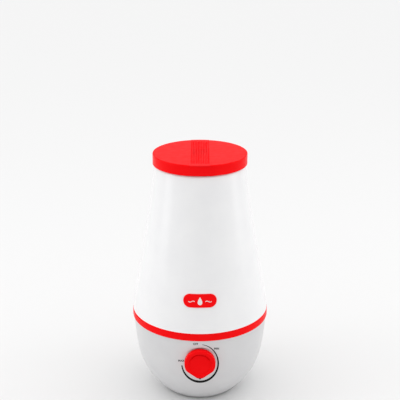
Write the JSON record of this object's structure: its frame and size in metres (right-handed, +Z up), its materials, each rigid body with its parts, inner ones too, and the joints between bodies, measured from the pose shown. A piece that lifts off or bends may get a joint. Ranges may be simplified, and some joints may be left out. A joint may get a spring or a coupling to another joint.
{
  "type": "cool mist humidifier",
  "caption": "Round cool mist humidifier: bowl-shaped base with water tray and dial, lift-off flared tank with bottom cap and valve, and a round lid.",
  "frame": {"origin": "on the table under the middle of the base", "axes": "+Z up through the tank and the lid, -Y towards the dial"},
  "size_m": [0.202, 0.206, 0.369],
  "materials": {
    "white_shell": "gloss, slightly grey white",
    "tank_white": "glossy, slightly translucent white",
    "red_plastic": "glossy saturated red",
    "red_grille": "fine ribbed satin red",
    "clear_cap": "translucent natural polypropylene",
    "black_foam": "matte black",
    "dark_guide": "dark satin",
    "rubber": "matte",
    "clear_rubber": "satin silicone",
    "steel": "brushed",
    "brass": "satin",
    "aluminium": "extruded",
    "board": "green solder mask",
    "black_plastic": "matte black",
    "grey_plastic": "satin grey",
    "copper": "enamelled copper",
    "magnet": "dark ferrite"
  },
  "bodies": {
    "base": {"base_shell": "white_shell", "water_tray": "red_plastic", "tray_gasket": "rubber", "bottom_cover": "grey_plastic", "rubber_feet": "rubber", "bottom_screws": "steel", "driver_board": "board", "board_screws": "steel", "heatsink": "aluminium", "power_transistor": "black_plastic", "capacitors": "black_plastic", "choke_coil": "copper", "board_connectors": "grey_plastic", "potentiometer": "black_plastic", "potentiometer_nut": "brass", "dc_jack": "black_plastic", "jack_pin": "brass", "jack_nut": "steel", "fan_shroud": "grey_plastic", "fan_housing": "black_plastic", "fan_coil": "copper", "fan_screws": "steel", "transducer_seal": "clear_rubber", "transducer_disc": "steel", "transducer_clamp": "aluminium", "clamp_pillars": "red_plastic", "clamp_screws": "steel", "mist_guide": "dark_guide", "reed_switch": "black_plastic", "float_retainer": "red_plastic", "jack_wire": "black_plastic", "dial_wire": "black_plastic", "transducer_wire": "black_plastic", "fan_wire": "black_plastic"},
    "fan_rotor": {"fan_impeller": "black_plastic", "fan_shaft": "steel"},
    "float": {"float_ring": "black_foam", "float_magnet": "magnet"},
    "knob": {"control_knob": "red_plastic", "knob_pointer": "black_plastic", "control_shaft": "brass"},
    "tank": {"tank_shell": "tank_white", "tank_floor": "red_plastic", "tank_seal": "clear_rubber", "mist_tube": "tank_white", "tube_seal": "clear_rubber", "badge": "red_plastic"},
    "cap": {"tank_cap": "clear_cap", "cap_seal": "clear_rubber", "valve_spring": "steel"},
    "valve": {"valve_stem": "grey_plastic", "valve_seal": "clear_rubber"},
    "collar": {"lid_collar": "red_plastic", "collar_seal": "clear_rubber"},
    "lid": {"lid": "red_plastic", "lid_grille": "red_grille"}
  },
  "joints": [
    {"name": "tank_lift", "type": "slide", "parent": "base", "child": "tank", "axis": [0, 0, 1], "range_m": [0, 0.15]},
    {"name": "cap_turn", "type": "hinge", "parent": "tank", "child": "cap", "pos_m": [0.0495, 0.036, 0.115], "axis": [0, 0, 1], "range_deg": [0, 90]},
    {"name": "valve_slide", "type": "slide", "parent": "cap", "child": "valve", "axis": [0, 0, 1], "range_m": [-0.005, 0], "deforming": ["valve_spring"]},
    {"name": "lid_lift", "type": "slide", "parent": "tank", "child": "collar", "axis": [0, 0, 1], "range_m": [0, 0.035]},
    {"name": "lid_turn", "type": "hinge", "parent": "collar", "child": "lid", "pos_m": [0, 0, 0.36], "axis": [0, 0, 1], "continuous": true},
    {"name": "dial_turn", "type": "hinge", "parent": "base", "child": "knob", "pos_m": [0, -0.095, 0.084], "axis": [0, 1, 0], "range_deg": [-194, 96]},
    {"name": "float_rise", "type": "slide", "parent": "base", "child": "float", "axis": [0, 0, 1], "range_m": [0, 0.004]},
    {"name": "fan_spin", "type": "hinge", "parent": "base", "child": "fan_rotor", "pos_m": [-0.054, 0.032, 0.08], "axis": [0, 0, 1], "continuous": true}
  ],
  "couplings": [
    {"joint": "valve_slide", "follows": "tank_lift", "ratio": -0.033333}
  ]
}
